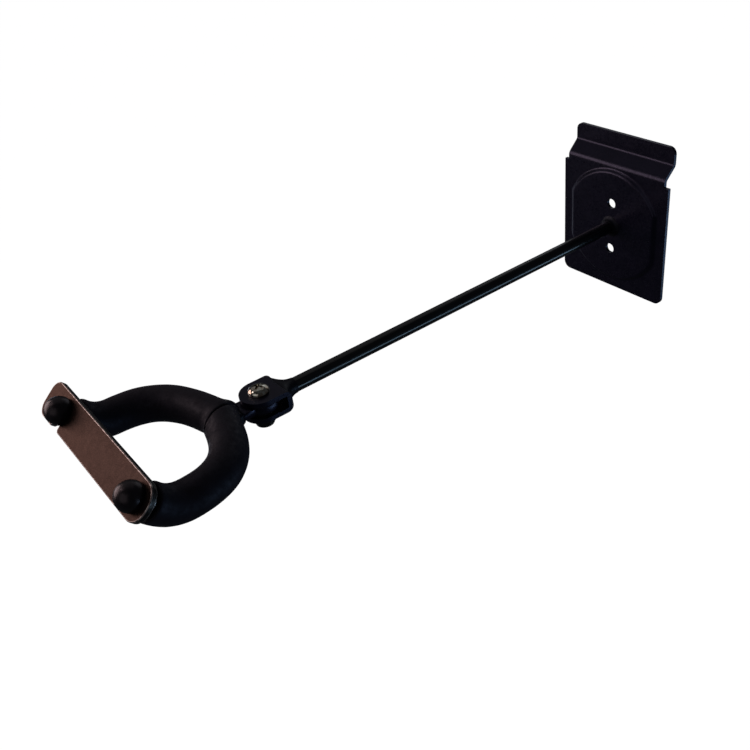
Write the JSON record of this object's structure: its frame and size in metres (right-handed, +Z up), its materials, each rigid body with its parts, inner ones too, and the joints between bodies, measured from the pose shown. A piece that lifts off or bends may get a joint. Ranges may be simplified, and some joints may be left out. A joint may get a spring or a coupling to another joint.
{
  "type": "wall guitar hanger",
  "caption": "Slat-wall guitar hanger: hooked wall plate, long round arm, and a swivelling foam-padded U yoke with ball-capped upturned tips and a pivoting metal safety gate.",
  "frame": {"origin": "on the wall plane (the plate's back face), at the middle of the plate's lower border, 37.5 mm below the arm's axis", "axes": "+Y into the wall, so the arm reaches out along -Y; +Z up; +X to the right for someone facing the wall"},
  "size_m": [0.1103, 0.3439, 0.0946],
  "materials": {
    "satin_black_steel": "satin black powder coat",
    "gloss_black_steel": "gloss black enamel",
    "painted_weld": "weld bead under black paint",
    "bright_chrome": "polished",
    "dark_zinc": "black zinc plate",
    "black_nylon": "moulded",
    "black_foam": "matte closed-cell foam with a soft skin",
    "black_rubber": "smooth moulded rubber",
    "bronzed_steel": "warm dark plated steel, satin"
  },
  "bodies": {
    "wall_arm": {"wall_plate": "satin_black_steel", "arm_rod": "gloss_black_steel", "arm_base_weld": "painted_weld", "clevis_weld": "painted_weld", "clevis_bracket": "satin_black_steel", "pivot_bolt": "bright_chrome", "friction_washer_upper": "black_nylon", "friction_washer_lower": "black_nylon", "nut_washer": "dark_zinc", "lock_nut": "dark_zinc", "lock_nut_insert": "black_nylon"},
    "yoke": {"yoke_tongue": "satin_black_steel", "yoke_rod": "satin_black_steel", "yoke_weld": "painted_weld", "foam_sleeve_left": "black_foam", "foam_sleeve_right": "black_foam", "end_collar_left": "gloss_black_steel", "end_collar_right": "gloss_black_steel", "ball_cap_left": "black_rubber", "ball_cap_right": "black_rubber"},
    "gate": {"retaining_gate": "bronzed_steel"}
  },
  "joints": [
    {"name": "yoke_swivel", "type": "hinge", "parent": "wall_arm", "child": "yoke", "pos_m": [0, -0.249, 0.0375], "axis": [0, 0, 1], "range_deg": [-105, 105]},
    {"name": "gate_swing", "type": "hinge", "parent": "yoke", "child": "gate", "pos_m": [0.0399, -0.32673, 0.05089], "axis": [0, 0.6613, -0.7501], "range_deg": [0, 345]}
  ]
}
